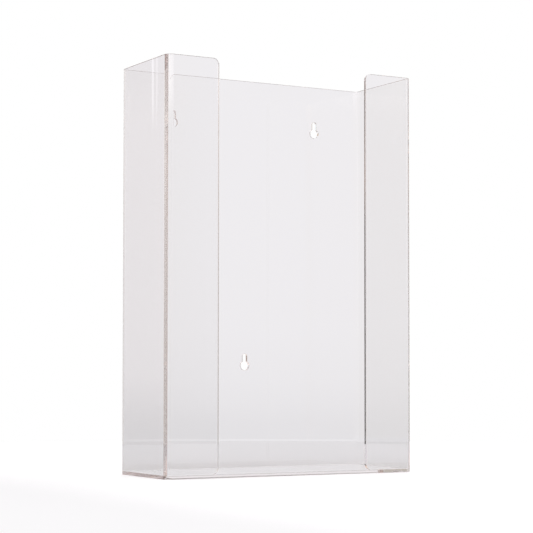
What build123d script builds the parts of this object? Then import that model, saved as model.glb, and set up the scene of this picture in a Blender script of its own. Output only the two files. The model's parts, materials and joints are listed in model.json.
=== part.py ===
"""Clear acrylic dispenser for three boxes of disposable gloves, stacked one above another.

It is made the way a plastics shop makes it. One flat sheet is cut out with its keyholes and
its rounded corners, its edges are eased, and it is heated and folded along four upright lines
into a back panel, two side panels and two narrow front lips. A flat plate is then cemented
under the folded sheet, flush with it all round. The boxes drop in from the open top, and the
gloves are drawn out through the tall window between the lips.

Millimetres, +Z up. The origin is at the middle of the footprint, on the underside of the
plate. The front, with its window, faces -Y, and the back panel that goes to the wall faces +Y.
"""

import os

from build123d import *

os.makedirs("parts", exist_ok=True)

# Outside of the dispenser
width = 270.0
depth = 100.0
height = 390.0

# Acrylic sheet
sheet = 3.2
base_thickness = 3.2
bend_inside_radius = 1.2
bend_outside_radius = 6.7
edge_ease = 0.3

# Front lips, measured from the outside of the side panel to the free edge
lip_width = 54.0
lip_corner_radius = 6.0

# Keyholes for hanging the dispenser on three screws: each has a round that passes the
# screw's head, and a slot above it that takes the screw's shank
keyhole_round = 9.5
keyhole_slot = 4.8
keyhole_rise = 9.5
upper_keyhole_spacing = 162.0
upper_keyhole_drop = 47.5
lower_keyhole_height = 104.5

# Sizes that follow from the ones above
back_y = depth / 2
side_x = width / 2
lip_edge_x = side_x - lip_width
body_height = height - base_thickness
upper_keyhole_z = height - upper_keyhole_drop
keyhole_places = [
    (-upper_keyhole_spacing / 2, upper_keyhole_z),
    (upper_keyhole_spacing / 2, upper_keyhole_z),
    (0, lower_keyhole_height),
]


def sheet_face(inset, radius):
    """One face of the folded sheet, from the left lip's free edge round the back to the right's."""
    x = side_x - inset
    y = back_y - inset
    return FilletPolyline(
        (-lip_edge_x, -y),
        (-x, -y),
        (-x, y),
        (x, y),
        (x, -y),
        (lip_edge_x, -y),
        radius=radius,
    )


# Folded body: the inner face lies one sheet inside the outer face. A bend made over a hot wire
# is close to sharp inside and well rounded outside, where the softened sheet stretches and
# thins a little, so the two faces turn with radii of their own.
with BuildPart() as folded_body:
    with BuildSketch(Plane.XY.offset(base_thickness)):
        with BuildLine():
            outer = sheet_face(0, bend_outside_radius)
            inner = sheet_face(sheet, bend_inside_radius)
            Line(outer @ 0, inner @ 0)
            Line(outer @ 1, inner @ 1)
        make_face()
    extrude(amount=body_height)

    # The free corners of the lips are the shortest edges that run front to back
    lip_corners = folded_body.edges().filter_by(Axis.Y).group_by(SortBy.LENGTH)[0]
    fillet(lip_corners, radius=lip_corner_radius)

    # All edges of the cut blank are eased. That leaves out the lines where flat panels run into
    # bends, and the short lines across the sheet where the lips' rounded corners begin and end.
    short_lines = folded_body.edges().filter_by(Axis.Y).group_by(SortBy.LENGTH)[0]
    uprights = folded_body.edges().filter_by(Axis.Z)
    free_edges = uprights.group_by(lambda edge: round(abs(edge.center().X), 3))[0]
    bend_lines = uprights - free_edges
    chamfer(folded_body.edges() - bend_lines - short_lines, length=edge_ease)

    # Keyholes, drawn on the outer face of the back panel and cut through it
    with BuildSketch(Plane.XZ.offset(-back_y)):
        with Locations(*keyhole_places):
            Circle(keyhole_round / 2)
        with Locations(*[(x, z + keyhole_rise / 2) for x, z in keyhole_places]):
            SlotCenterToCenter(keyhole_rise, keyhole_slot, rotation=90)
    extrude(amount=sheet, mode=Mode.SUBTRACT)

# Base plate: it has the body's own outline, with the bends' outer radius at its four corners
with BuildPart() as base_plate:
    with BuildSketch(Plane.XY):
        RectangleRounded(width, depth, bend_outside_radius)
    extrude(amount=base_thickness)
    chamfer(base_plate.faces().filter_by(Axis.Z).edges(), length=edge_ease)

folded_body.part.label = "folded_body"
base_plate.part.label = "base_plate"
export_step(folded_body.part, "parts/folded_body.step")
export_step(base_plate.part, "parts/base_plate.step")

print("folded body", round(folded_body.part.volume / 1000, 2), "cm3")
print("base plate", round(base_plate.part.volume / 1000, 2), "cm3")
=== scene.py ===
# %% [markdown]
# # A clear acrylic dispenser for boxes of disposable gloves
#
# The real object is two pieces of clear sheet. One long sheet is cut flat, heated along four
# lines and folded round into a back, two sides and two narrow front lips. A flat plate is
# cemented under it. Nothing on it is painted or moves, so its whole look is in three things:
# the true thickness of the sheet, the rounding of every bend and edge, and the studio that is
# seen through it and mirrored in it.
#
# Everything is in metres. The origin is at the middle of the footprint, the front with its
# window faces -Y, and the back panel that goes to the wall faces +Y.

import json
import math

import bpy
from mathutils import Matrix, Vector


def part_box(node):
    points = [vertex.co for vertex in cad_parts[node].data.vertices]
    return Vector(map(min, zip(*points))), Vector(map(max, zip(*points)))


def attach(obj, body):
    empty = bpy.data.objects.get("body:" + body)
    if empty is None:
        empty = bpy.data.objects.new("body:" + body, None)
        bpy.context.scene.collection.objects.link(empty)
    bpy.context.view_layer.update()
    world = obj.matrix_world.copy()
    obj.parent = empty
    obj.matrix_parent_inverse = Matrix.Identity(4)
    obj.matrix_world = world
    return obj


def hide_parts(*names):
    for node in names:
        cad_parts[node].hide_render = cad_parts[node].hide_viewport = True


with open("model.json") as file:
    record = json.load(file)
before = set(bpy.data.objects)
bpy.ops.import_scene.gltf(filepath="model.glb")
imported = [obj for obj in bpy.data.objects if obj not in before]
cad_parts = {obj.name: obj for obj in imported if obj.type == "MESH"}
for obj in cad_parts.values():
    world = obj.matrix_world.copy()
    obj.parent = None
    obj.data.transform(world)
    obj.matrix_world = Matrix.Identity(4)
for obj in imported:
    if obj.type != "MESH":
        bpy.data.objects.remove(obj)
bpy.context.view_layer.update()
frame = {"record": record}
body_low, body_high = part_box("folded_body")
plate_low, plate_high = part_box("base_plate")
print("folded body from", tuple(body_low), "to", tuple(body_high))
print("base plate from", tuple(plate_low), "to", tuple(plate_high))

# %% [markdown]
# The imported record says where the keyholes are, how wide their rounds are and how long their
# walls are. A keyhole goes straight through the back panel, so its wall is as long as the sheet
# is thick, and the sheet's thickness needs no second measurement. The sizes that no box and no
# mount gives are named here. A bend made over a hot wire is close to sharp inside and well
# rounded outside, so its two faces have radii of their own.

# %% Sizes
MM = 0.001
keyholes = [mount for mount in frame["record"]["mounts"] if mount["kind"] == "bore"]
sheet = keyholes[0]["dims"]["length_mm"] * MM
round_radius = keyholes[0]["dims"]["r_mm"] * MM
slot_radius = 2.4 * MM
slot_rise = 9.5 * MM
bend_inside_radius = 1.2 * MM
bend_outside_radius = 6.7 * MM
lip_width = 54.0 * MM
lip_corner_radius = 6.0 * MM
edge_ease = 0.3 * MM
cement_line = 0.04 * MM

side_x = body_high.x
back_y = body_high.y
lip_edge_x = side_x - lip_width
bottom_z = body_low.z + cement_line
top_z = body_high.z
print("sheet", sheet / MM, "mm thick, keyholes", [mount["name"] for mount in keyholes])


# %% [markdown]
# Small helpers keep the modelling cells short. An operator acts on whatever is selected, and
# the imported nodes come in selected, so each piece starts with nothing selected at all. Points,
# edges and faces are then picked by where they are: the test is given the corners of each, and
# says whether it is wanted.

# %% Helpers for modelling by hand
def start_piece(name, add, place, turn=(0, 0, 0), stretch=(1, 1, 1), **settings):
    bpy.ops.object.select_all(action="DESELECT")
    add(location=place, rotation=turn, **settings)
    piece = bpy.context.active_object
    piece.name = name
    piece.data.name = name
    piece.scale = stretch
    bpy.ops.object.transform_apply(location=True, rotation=True, scale=True)
    return piece


def near(a, b):
    return abs(a - b) < 0.01 * MM


def pick(piece, kind, wanted):
    bpy.ops.object.mode_set(mode="EDIT")
    bpy.ops.mesh.select_mode(type=kind)
    bpy.ops.mesh.select_all(action="DESELECT")
    bpy.ops.object.mode_set(mode="OBJECT")
    points = piece.data.vertices
    parts = {"VERT": points, "EDGE": piece.data.edges, "FACE": piece.data.polygons}[kind]
    for part in parts:
        corners = [part.co] if kind == "VERT" else [points[i].co for i in part.vertices]
        part.select = wanted(corners)
    count = sum(part.select for part in parts)
    bpy.ops.object.mode_set(mode="EDIT")
    return count


def apply_modifier(piece, kind, **settings):
    modifier = piece.modifiers.new(kind.lower(), kind)
    for name, value in settings.items():
        setattr(modifier, name, value)
    bpy.context.view_layer.objects.active = piece
    bpy.ops.object.modifier_apply(modifier=modifier.name)


# %% [markdown]
# ## The folded body
#
# On the bench this is one strip of sheet, heated on a hot wire and folded four times. It could be
# made here by walking a lip's edge round the dispenser, as the strip itself goes, but the inner
# and outer faces turn with different radii, and both would have to be walked. The plan is the
# shorter way. A plane of the footprint is inset by the sheet's thickness, its middle is taken
# out, and two cuts through the front strip open the window between the lips.

# %% Draw the plan of the folded sheet
body = start_piece(
    "clear_body",
    bpy.ops.mesh.primitive_plane_add,
    place=(0, 0, bottom_z),
    stretch=(2 * side_x, 2 * back_y, 1),
    size=1,
)
bpy.ops.object.mode_set(mode="EDIT")
bpy.ops.mesh.select_all(action="SELECT")
bpy.ops.mesh.inset(thickness=sheet)
bpy.ops.mesh.delete(type="FACE")
for window_x in (-lip_edge_x, lip_edge_x):
    pick(body, "FACE", lambda corners: max(co.y for co in corners) < -back_y + 1.5 * sheet)
    bpy.ops.mesh.bisect(plane_co=(window_x, 0, 0), plane_no=(1, 0, 0))
window = pick(
    body,
    "FACE",
    lambda corners: max(co.y for co in corners) < 0
    and max(abs(co.x) for co in corners) < lip_edge_x + 0.01 * MM,
)
bpy.ops.mesh.delete(type="FACE")
bpy.ops.object.mode_set(mode="OBJECT")
print(window, "window strip taken out,", len(body.data.polygons), "faces in the plan")

# %% [markdown]
# Drawn up to its height, the plan becomes the folded sheet with sharp corners. The seams that the
# inset left across the flats are dissolved, and then each kind of edge is rounded by its own
# bevel: the outside and the inside of the four bends, and the free corners of the lips, which
# are rounded on a router before the sheet is folded.

# %% Draw the sheet up and round its bends and corners
BEND_STEPS = 28
CREASE_STEPS = 10
CORNER_STEPS = 16


def upright_at(corners, x, y):
    at_corner = all(near(abs(co.x), x) and near(abs(co.y), y) for co in corners)
    return at_corner and not near(corners[0].z, corners[1].z)


def across_lip_end(corners):
    at_end = all(near(abs(co.x), lip_edge_x) and co.y < 0 for co in corners)
    return at_end and near(corners[0].z, corners[1].z)


bpy.ops.object.mode_set(mode="EDIT")
bpy.ops.mesh.select_all(action="SELECT")
bpy.ops.mesh.extrude_region_move(TRANSFORM_OT_translate={"value": (0, 0, top_z - bottom_z)})
bpy.ops.mesh.select_all(action="SELECT")
bpy.ops.mesh.normals_make_consistent(inside=False)
bpy.ops.mesh.dissolve_limited(angle_limit=math.radians(1))
bends = pick(body, "EDGE", lambda corners: upright_at(corners, side_x, back_y))
bpy.ops.mesh.bevel(offset=bend_outside_radius, segments=BEND_STEPS, affect="EDGES")
creases = pick(body, "EDGE", lambda corners: upright_at(corners, side_x - sheet, back_y - sheet))
bpy.ops.mesh.bevel(offset=bend_inside_radius, segments=CREASE_STEPS, affect="EDGES")
lip_corners = pick(body, "EDGE", across_lip_end)
bpy.ops.mesh.bevel(offset=lip_corner_radius, segments=CORNER_STEPS, affect="EDGES")
bpy.ops.object.mode_set(mode="OBJECT")
print(bends, "bends,", creases, "creases and", lip_corners, "lip corners rounded")

# %% [markdown]
# Each keyhole is a round that passes a screw's head and a slot above it that takes its shank.
# A cylinder makes the round. A second, thinner cylinder is pulled apart at its middle into the
# slot: its upper points are raised by the slot's length, and the faces between them stretch.

# %% Cut the keyholes
ROUND_STEPS = 48


def cutter(name, radius, place):
    return start_piece(
        name,
        bpy.ops.mesh.primitive_cylinder_add,
        place=place,
        turn=(math.pi / 2, 0, 0),
        vertices=ROUND_STEPS,
        radius=radius,
        depth=4 * sheet,
    )


def cut_away(piece, tool):
    apply_modifier(piece, "BOOLEAN", operation="DIFFERENCE", solver="EXACT", object=tool)
    mesh = tool.data
    bpy.data.objects.remove(tool)
    bpy.data.meshes.remove(mesh)


for mount in keyholes:
    centre = Vector(mount["pos_m"])
    cut_away(body, cutter("keyhole_round", round_radius, centre))
    slot = cutter("keyhole_slot", slot_radius, centre)
    pick(slot, "VERT", lambda corners: corners[0].z > centre.z + 0.01 * MM)
    bpy.ops.transform.translate(value=(0, 0, slot_rise))
    bpy.ops.object.mode_set(mode="OBJECT")
    cut_away(body, slot)
    print(mount["name"], "cut at", [round(c / MM, 1) for c in centre], "mm")

# %% [markdown]
# Cut edges of acrylic are scraped and flame polished, which takes their sharpness off. The bevel
# only finds edges that turn by more than 40 degrees, so it leaves the bends alone. Weighted
# normals keep each flat panel true right up to the bend or the eased edge beside it. With glass
# that matters, because a panel that is shaded a little round bends what is behind it.

# %% Ease the cut edges and smooth the bends
EASE_STEPS = 3
EASE_ANGLE = math.radians(40)


def ease_and_smooth(piece):
    apply_modifier(
        piece,
        "BEVEL",
        width=edge_ease,
        segments=EASE_STEPS,
        limit_method="ANGLE",
        angle_limit=EASE_ANGLE,
    )
    bpy.ops.object.select_all(action="DESELECT")
    piece.select_set(True)
    bpy.context.view_layer.objects.active = piece
    bpy.ops.object.shade_smooth()
    apply_modifier(piece, "WEIGHTED_NORMAL", keep_sharp=False, weight=100)


ease_and_smooth(body)
print("folded body has", len(body.data.polygons), "faces")

# %% [markdown]
# ## The base plate
#
# The plate is sawn to the body's own outline and cemented under it. A block of the plate's size
# has its four upright edges rounded to the bends' outer radius. The body stops a hair above
# the plate, which is the line of cement: two glass faces in one place would flicker.

# %% Saw out the base plate
plate = start_piece(
    "clear_base",
    bpy.ops.mesh.primitive_cube_add,
    place=(plate_low + plate_high) / 2,
    stretch=plate_high - plate_low,
    size=1,
)
plate_corners = pick(plate, "EDGE", lambda corners: upright_at(corners, side_x, back_y))
bpy.ops.mesh.bevel(offset=bend_outside_radius, segments=BEND_STEPS, affect="EDGES")
bpy.ops.object.mode_set(mode="OBJECT")
ease_and_smooth(plate)
print("base plate has", plate_corners, "rounded corners and measures", tuple(plate.dimensions))

# %% [markdown]
# The sheet, the table and the studio are all made of a few kinds of shader node, joined in
# different ways. Each kind has a helper here, which takes plain numbers as well as the outputs
# of other nodes. That keeps a material's own function down to what is special about it.

# %% Helpers for shader nodes
def calculate(nodes, links, operation, *values, clamp=False):
    node = nodes.new("ShaderNodeMath")
    node.operation = operation
    node.use_clamp = clamp
    for socket, value in zip(node.inputs, values):
        if isinstance(value, (int, float)):
            socket.default_value = value
        else:
            links.new(value, socket)
    return node.outputs["Value"]


def smooth_step(nodes, links, value, start, end):
    step = nodes.new("ShaderNodeMapRange")
    step.interpolation_type = "SMOOTHSTEP"
    step.inputs["From Min"].default_value = start
    step.inputs["From Max"].default_value = end
    links.new(value, step.inputs["Value"])
    return step.outputs["Result"]


def blend_colours(nodes, links, amount, first, second):
    mix = nodes.new("ShaderNodeMix")
    mix.data_type = "RGBA"
    colours = [socket for socket in mix.inputs if socket.type == "RGBA"]
    links.new(amount, mix.inputs["Factor"])
    for socket, value in zip(colours, (first, second)):
        if isinstance(value, tuple):
            socket.default_value = (*value, 1)
        else:
            links.new(value, socket)
    return next(socket for socket in mix.outputs if socket.type == "RGBA")


def even_noise(nodes, links, place, scale):
    noise = nodes.new("ShaderNodeTexNoise")
    noise.inputs["Scale"].default_value = scale
    noise.inputs["Detail"].default_value = 1.0
    links.new(place, noise.inputs["Vector"])
    return noise.outputs["Fac"]


def bump(nodes, links, height, depth):
    node = nodes.new("ShaderNodeBump")
    node.inputs["Distance"].default_value = depth
    links.new(height, node.inputs["Height"])
    return node.outputs["Normal"]


# %% [markdown]
# ## Clear acrylic
#
# Acrylic bends light a little less than glass. It is clear through a sheet's thickness, but a
# cut edge is seen through many centimetres of it, and there its faint warm tint shows. A colour
# on the surface would tint the panels as much as the edges, so the tint is an absorption in the
# volume, which grows with the way that light has gone.
#
# No sheet is quite flat, nor is its polish quite even. It is given long, very shallow waves, a few
# thousandths of a millimetre deep, and a roughness that drifts a little from place to place.
# Both are guesses at an ordinary sheet, and change very little of what is seen.

# %% Acrylic material
ACRYLIC_IOR = 1.49
TINT_COLOUR = (0.467, 0.267, 0.233, 1)
TINT_DENSITY = 1.5
WAVE_SCALE = 15.0
WAVE_DEPTH = 0.004 * MM
POLISH_SCALE = 60.0
ROUGHEST = 0.012


def acrylic(name):
    material = bpy.data.materials.new(name)
    material.use_nodes = True
    nodes = material.node_tree.nodes
    links = material.node_tree.links
    place = nodes.new("ShaderNodeTexCoord").outputs["Object"]
    normal = bump(nodes, links, even_noise(nodes, links, place, WAVE_SCALE), WAVE_DEPTH)
    polish = even_noise(nodes, links, place, POLISH_SCALE)
    polish = calculate(nodes, links, "MULTIPLY", polish, ROUGHEST)
    shader = nodes["Principled BSDF"]
    shader.inputs["Base Color"].default_value = (1, 1, 1, 1)
    shader.inputs["Transmission Weight"].default_value = 1
    shader.inputs["IOR"].default_value = ACRYLIC_IOR
    links.new(polish, shader.inputs["Roughness"])
    links.new(normal, shader.inputs["Normal"])
    tint = nodes.new("ShaderNodeVolumeAbsorption")
    tint.inputs["Color"].default_value = TINT_COLOUR
    tint.inputs["Density"].default_value = TINT_DENSITY
    links.new(tint.outputs["Volume"], nodes["Material Output"].inputs["Volume"])
    return material


body.data.materials.clear()
body.data.materials.append(acrylic("clear_acrylic_sheet"))
plate.data.materials.clear()
plate.data.materials.append(acrylic("clear_acrylic_plate"))

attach(body, "root")
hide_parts("folded_body")
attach(plate, "root")
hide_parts("base_plate")

# %% [markdown]
# ## Table and studio
#
# A table is a disc that is wide enough to reach past the object in every view. Its paint is matt
# and pale, and it carries a painted shade: towards -X the paint itself darkens, as if the light
# fell off to the left. What the camera sees of it directly, or in the clear sheet, gets a little
# light of its own, which takes it to the white of a product photograph and leaves the shadow on
# it.

# %% Table
TABLE_RADIUS = 0.8
TABLE_STEPS = 128
TABLE_DROP = 0.2 * MM
TABLE_PAINT = (0.705, 0.688, 0.706)
# Painted shade on the table: between these x positions the paint darkens, by about a third at
# most.
TABLE_PAINTED_SHADE = {"from": -0.10, "to": -0.32, "depth": 0.34}
TABLE_GLOW = {"Is Camera Ray": 0.5, "Is Glossy Ray": 0.03, "Is Transmission Ray": 0.03}
table = start_piece(
    "studio_table",
    bpy.ops.mesh.primitive_circle_add,
    place=(0, 0, -TABLE_DROP),
    vertices=TABLE_STEPS,
    radius=TABLE_RADIUS,
    fill_type="NGON",
)


def table_paint():
    material = bpy.data.materials.new("pale_table")
    material.use_nodes = True
    nodes = material.node_tree.nodes
    links = material.node_tree.links
    nodes.clear()
    output = nodes.new("ShaderNodeOutputMaterial")
    place = nodes.new("ShaderNodeTexCoord")
    split = nodes.new("ShaderNodeSeparateXYZ")
    links.new(place.outputs["Object"], split.inputs["Vector"])
    # Painted shade: the paint is blended towards black on the -X side of the table.
    shade = smooth_step(nodes, links, split.outputs["X"], TABLE_PAINTED_SHADE["from"], TABLE_PAINTED_SHADE["to"])
    shade = calculate(nodes, links, "MULTIPLY", shade, TABLE_PAINTED_SHADE["depth"])
    paint = blend_colours(nodes, links, shade, TABLE_PAINT, (0.0, 0.0, 0.0))
    matt = nodes.new("ShaderNodeBsdfDiffuse")
    links.new(paint, matt.inputs["Color"])
    glow = nodes.new("ShaderNodeEmission")
    path = nodes.new("ShaderNodeLightPath")
    strength = 0.0
    for kind, amount in TABLE_GLOW.items():
        strength = calculate(nodes, links, "MULTIPLY_ADD", path.outputs[kind], amount, strength)
    links.new(strength, glow.inputs["Strength"])
    add = nodes.new("ShaderNodeAddShader")
    links.new(matt.outputs["BSDF"], add.inputs[0])
    links.new(glow.outputs["Emission"], add.inputs[1])
    links.new(add.outputs["Shader"], output.inputs["Surface"])
    return material


table.data.materials.append(table_paint())

# %% [markdown]
# A clear thing has no colour of its own to show, so a photographer draws it with what stands
# round it. A pale backdrop behind it makes the panels bright, and darker things in the room to
# the left, to the right and beside the camera give its bends and edges their lines. The room
# could be built of large cards, but each card would also shade the table. Here it is painted on
# the world by heading and height instead. A heading of 0 looks along +Y, one of 90 along +X.
#
# Each thing in the room has a tint and a few levels of brightness, by the height in degrees at
# which it is seen. Later ones stand in front of earlier ones.

# %% The things in the room
WALL_TINT = (1.0, 0.83, 0.72)
WALL_LEVELS = {-2: 0.40, 5: 0.56, 8: 0.68, 10: 1.20}
ROOM = {
    "white wall left of the backdrop": {
        "heading": -10, "half_width": 9, "soft": 3,
        "tint": (1.0, 1.0, 1.0), "levels": {-2: 1.15, 0: 0.86, 6: 0.66, 10: 1.25},
    },
    "left wall": {
        "heading": -30, "half_width": 12, "soft": 3,
        "tint": (1.0, 1.0, 1.0), "levels": {-1: 0.66, 2: 0.85, 7: 1.22, 10: 0.56},
    },
    "backdrop": {
        "heading": 32, "half_width": 30, "soft": 3,
        "tint": (1.0, 0.983, 1.008), "levels": {-1.6: 0.828, -0.2: 0.87, 1.5: 0.889, 16: 0.892},
    },
    "post on the left": {
        "heading": -18.5, "half_width": 2, "soft": 1,
        "tint": (1.0, 0.90, 0.85), "levels": {-2: 0.40, 10: 0.50},
    },
    "stand on the left": {
        "heading": -25.3, "half_width": 2, "soft": 1,
        "tint": (1.0, 0.88, 0.88), "levels": {-2: 0.30, 0: 0.56, 6: 0.62, 8.5: 0.67, 10: 0.56},
    },
    "curtain on the left": {
        "heading": -33.5, "half_width": 1.5, "soft": 1,
        "tint": (1.0, 0.95, 0.86), "levels": {-2: 0.52, 10: 0.56},
    },
    "dark doorway on the left": {
        "heading": -42.5, "half_width": 3, "soft": 2,
        "tint": (1.0, 0.76, 0.62), "levels": {0: 0.0, 8: 0.58},
    },
    "post at the backdrop's left edge": {
        "heading": 3.5, "half_width": 3.5, "soft": 2,
        "tint": (1.0, 0.75, 0.66), "levels": {-2: 0.45, 1: 0.22, 5: 0.50, 8: 0.25},
    },
    "post at the backdrop's right edge": {
        "heading": 63, "half_width": 3.5, "soft": 1.5,
        "tint": (1.0, 0.76, 0.52), "levels": {0: 0.80, 2: 0.48, 5: 0.38, 6: 0.80, 10: 0.20},
    },
    "window on the right": {
        "heading": 84, "half_width": 14, "soft": 4,
        "tint": (1.0, 1.08, 1.12), "levels": {-2: 1.00, 2: 1.15, 6: 0.95},
    },
    "dark cupboard on the right": {
        "heading": 110, "half_width": 11, "soft": 2,
        "tint": (1.0, 0.72, 0.60), "levels": {-2: 0.0, 5: 0.06, 6.5: 0.30, 9: 0.10, 12: 0.90},
    },
    "right wall": {
        "heading": 140, "half_width": 6, "soft": 2,
        "tint": (1.0, 0.97, 0.88), "levels": {-2: 0.0, 0: 0.18, 3: 0.34, 8: 0.35, 10: 1.00},
    },
    "doorway beside the camera": {
        "heading": 150, "half_width": 4, "soft": 1.5,
        "tint": (1.0, 0.94, 0.94), "levels": {-2: 0.13, -1: 0.35, 1: 0.40, 4: 0.52, 9: 0.60},
    },
    "camera stand": {
        "heading": 155.5, "half_width": 2, "soft": 1.5,
        "tint": (1.0, 0.93, 0.78), "levels": {-2: 0.07, 0: 0.26, 5: 0.40, 10: 0.40},
    },
}

# %% [markdown]
# Three lamps are added over the room. The large soft box in front of the object, above the camera,
# puts a cool bright band on the front left bend. Two thin strip lights on the left are mirrored
# as bright streaks high in the left side panel.

# %% The lamps in the room
LAMPS = {
    "front soft box": {
        "heading": 193, "half_width": 35, "soft": 3, "lowest": 9, "highest": 40, "fade": 0.5,
        "colour": (1.05, 1.05, 1.12),
    },
    "first strip light": {
        "heading": -25.727, "half_width": 0.03, "soft": 0.012,
        "lowest": 8.6, "highest": 40, "fade": 0.8,
        "colour": (0.65, 0.64, 0.68),
    },
    "second strip light": {
        "heading": -25.857, "half_width": 0.024, "soft": 0.012,
        "lowest": 8.6, "highest": 40, "fade": 0.8,
        "colour": (0.45, 0.44, 0.47),
    },
}

# %% [markdown]
# Only rays that go through the clear pieces or off them see this room. The camera itself, and
# the matt table, see plain white all round, so the light on everything stays even and soft.
# A mask by heading is how far a ray points from a thing's middle, wrapped round the full circle.
# The things stand on a pale floor, which begins a few degrees below eye level. Seen from behind
# and a little above, the clear panels have that floor behind them and stay pale.

# %% Paint the room on the world
LOWEST, HIGHEST = -8.0, 24.0
PLAIN_WHITE = (1.0, 1.0, 1.0)
FLOOR_TOP = -5.0
FLOOR_COLOUR = (0.88, 0.87, 0.88, 1)


def heading_mask(nodes, links, heading, thing):
    away = calculate(nodes, links, "SUBTRACT", heading, math.radians(thing["heading"]))
    away = calculate(nodes, links, "WRAP", away, math.pi, -math.pi)
    away = calculate(nodes, links, "ABSOLUTE", away)
    outer = math.radians(thing["half_width"] + thing["soft"])
    inner = math.radians(thing["half_width"] - thing["soft"])
    return smooth_step(nodes, links, away, outer, inner)


def colour_by_height(nodes, links, height, tint, levels):
    place = nodes.new("ShaderNodeMapRange")
    place.inputs["From Min"].default_value = LOWEST
    place.inputs["From Max"].default_value = HIGHEST
    links.new(height, place.inputs["Value"])
    ramp = nodes.new("ShaderNodeValToRGB")
    stops = ramp.color_ramp.elements
    stops.remove(stops[1])
    stops[0].color = FLOOR_COLOUR
    lowest_level = levels[min(levels)]
    for degrees, level in {FLOOR_TOP: lowest_level, **levels}.items():
        stop = stops.new((degrees - LOWEST) / (HIGHEST - LOWEST))
        stop.color = (*[level * part for part in tint], 1)
    links.new(place.outputs["Result"], ramp.inputs["Fac"])
    return ramp.outputs["Color"]


def add_lamp(nodes, links, heading, height, lamp, colour):
    mask = heading_mask(nodes, links, heading, lamp)
    fade = lamp["fade"]
    low = smooth_step(nodes, links, height, lamp["lowest"] - fade, lamp["lowest"] + fade)
    high = smooth_step(nodes, links, height, lamp["highest"] + fade, lamp["highest"] - fade)
    mask = calculate(nodes, links, "MULTIPLY", mask, low)
    mask = calculate(nodes, links, "MULTIPLY", mask, high)
    lit = nodes.new("ShaderNodeVectorMath")
    lit.operation = "MULTIPLY_ADD"
    lit.inputs[0].default_value = lamp["colour"]
    links.new(mask, lit.inputs[1])
    links.new(colour, lit.inputs[2])
    return lit.outputs["Vector"]


def studio_world():
    world = bpy.data.worlds.new("pale_studio")
    world.use_nodes = True
    nodes = world.node_tree.nodes
    links = world.node_tree.links
    nodes.clear()
    output = nodes.new("ShaderNodeOutputWorld")
    background = nodes.new("ShaderNodeBackground")
    links.new(background.outputs["Background"], output.inputs["Surface"])
    direction = nodes.new("ShaderNodeTexCoord")
    split = nodes.new("ShaderNodeSeparateXYZ")
    links.new(direction.outputs["Generated"], split.inputs["Vector"])
    heading = calculate(nodes, links, "ARCTAN2", split.outputs["X"], split.outputs["Y"])
    height = calculate(nodes, links, "ARCSINE", split.outputs["Z"])
    height = calculate(nodes, links, "DEGREES", height)
    colour = colour_by_height(nodes, links, height, WALL_TINT, WALL_LEVELS)
    for thing in ROOM.values():
        mask = heading_mask(nodes, links, heading, thing)
        inside = colour_by_height(nodes, links, height, thing["tint"], thing["levels"])
        colour = blend_colours(nodes, links, mask, colour, inside)
    for lamp in LAMPS.values():
        colour = add_lamp(nodes, links, heading, height, lamp, colour)
    path = nodes.new("ShaderNodeLightPath")
    glossy = path.outputs["Is Glossy Ray"]
    through = path.outputs["Is Transmission Ray"]
    sees_room = calculate(nodes, links, "ADD", glossy, through, clamp=True)
    seen = blend_colours(nodes, links, sees_room, PLAIN_WHITE, colour)
    links.new(seen, background.inputs["Color"])
    return world


bpy.context.scene.world = studio_world()
print(len(ROOM), "things and", len(LAMPS), "lamps stand in the room")

# %% [markdown]
# ## Camera
#
# The camera stands where the photographer stood, to the left of the dispenser and low, about as
# high as its lowest keyhole. It looks up by two degrees only. The rest of the way to the middle
# of the object is a shift of the lens, as on a camera for product pictures, so that the uprights
# lean very little.

# %% Camera
CAMERA_PLACE = Vector((-0.8247, -1.45096, 0.09617))
CAMERA_HEADING = math.radians(29.552)
CAMERA_PITCH = math.radians(2.170)
CAMERA_ROLL = 0.00097
SENSOR_WIDTH = 36.0
LENS_LENGTH = 115.67
LENS_SHIFT = 0.0799
NEAREST_SEEN, FURTHEST_SEEN = 0.05, 50.0

camera_data = bpy.data.cameras.new("photo_camera")
camera_data.sensor_width = SENSOR_WIDTH
camera_data.lens = LENS_LENGTH
camera_data.shift_y = LENS_SHIFT
camera_data.clip_start = NEAREST_SEEN
camera_data.clip_end = FURTHEST_SEEN
camera = bpy.data.objects.new("photo_camera", camera_data)
bpy.context.scene.collection.objects.link(camera)
camera.matrix_world = (
    Matrix.Translation(CAMERA_PLACE)
    @ Matrix.Rotation(-CAMERA_HEADING, 4, "Z")
    @ Matrix.Rotation(math.pi / 2 + CAMERA_PITCH, 4, "X")
    @ Matrix.Rotation(CAMERA_ROLL, 4, "Z")
)
bpy.context.scene.camera = camera

# %% [markdown]
# Standard colour keeps the white of the studio white. Light that enters a clear sheet is guided
# along inside it and can strike its faces nearly a hundred times before it leaves at a bend or a
# cut edge. If it were given up early, the bends would turn black, so the limits are high.

# %% Colour and light paths
scene = bpy.context.scene
scene.view_settings.view_transform = "Standard"
MOST_BOUNCES = 200
scene.cycles.max_bounces = MOST_BOUNCES
scene.cycles.transmission_bounces = MOST_BOUNCES
scene.cycles.glossy_bounces = MOST_BOUNCES
